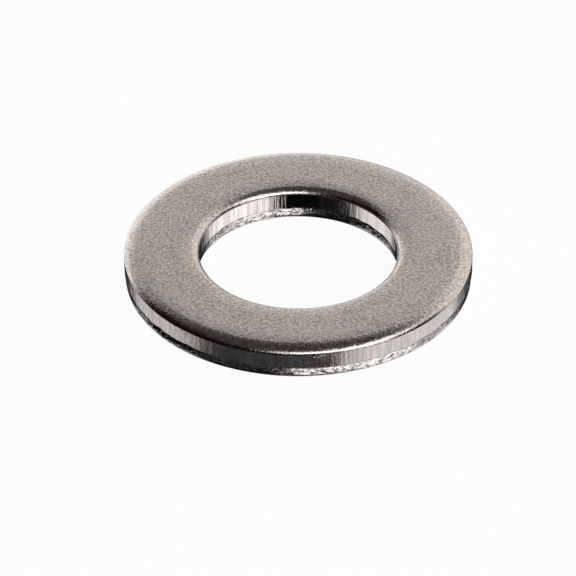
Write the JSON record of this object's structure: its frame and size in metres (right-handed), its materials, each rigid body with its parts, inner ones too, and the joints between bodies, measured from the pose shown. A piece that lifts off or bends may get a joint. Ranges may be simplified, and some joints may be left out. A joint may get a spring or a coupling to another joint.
{
  "type": "flat washer",
  "caption": "Flat steel washer with a plain round bore, softly rolled top edges and sheared walls, that spreads the load under a bolt head or nut.",
  "frame": {"origin": "centre of the bore in the plane of the bottom bearing face", "axes": "+Z along the bore's axis, from the bottom bearing face to the face with the rolled edges"},
  "size_m": [0.03, 0.03, 0.0029],
  "materials": {
    "bare_steel": "tumbled matte faces, burnished and torn sheared walls"
  },
  "bodies": {
    "root": {"flat_washer": "bare_steel"}
  },
  "joints": []
}
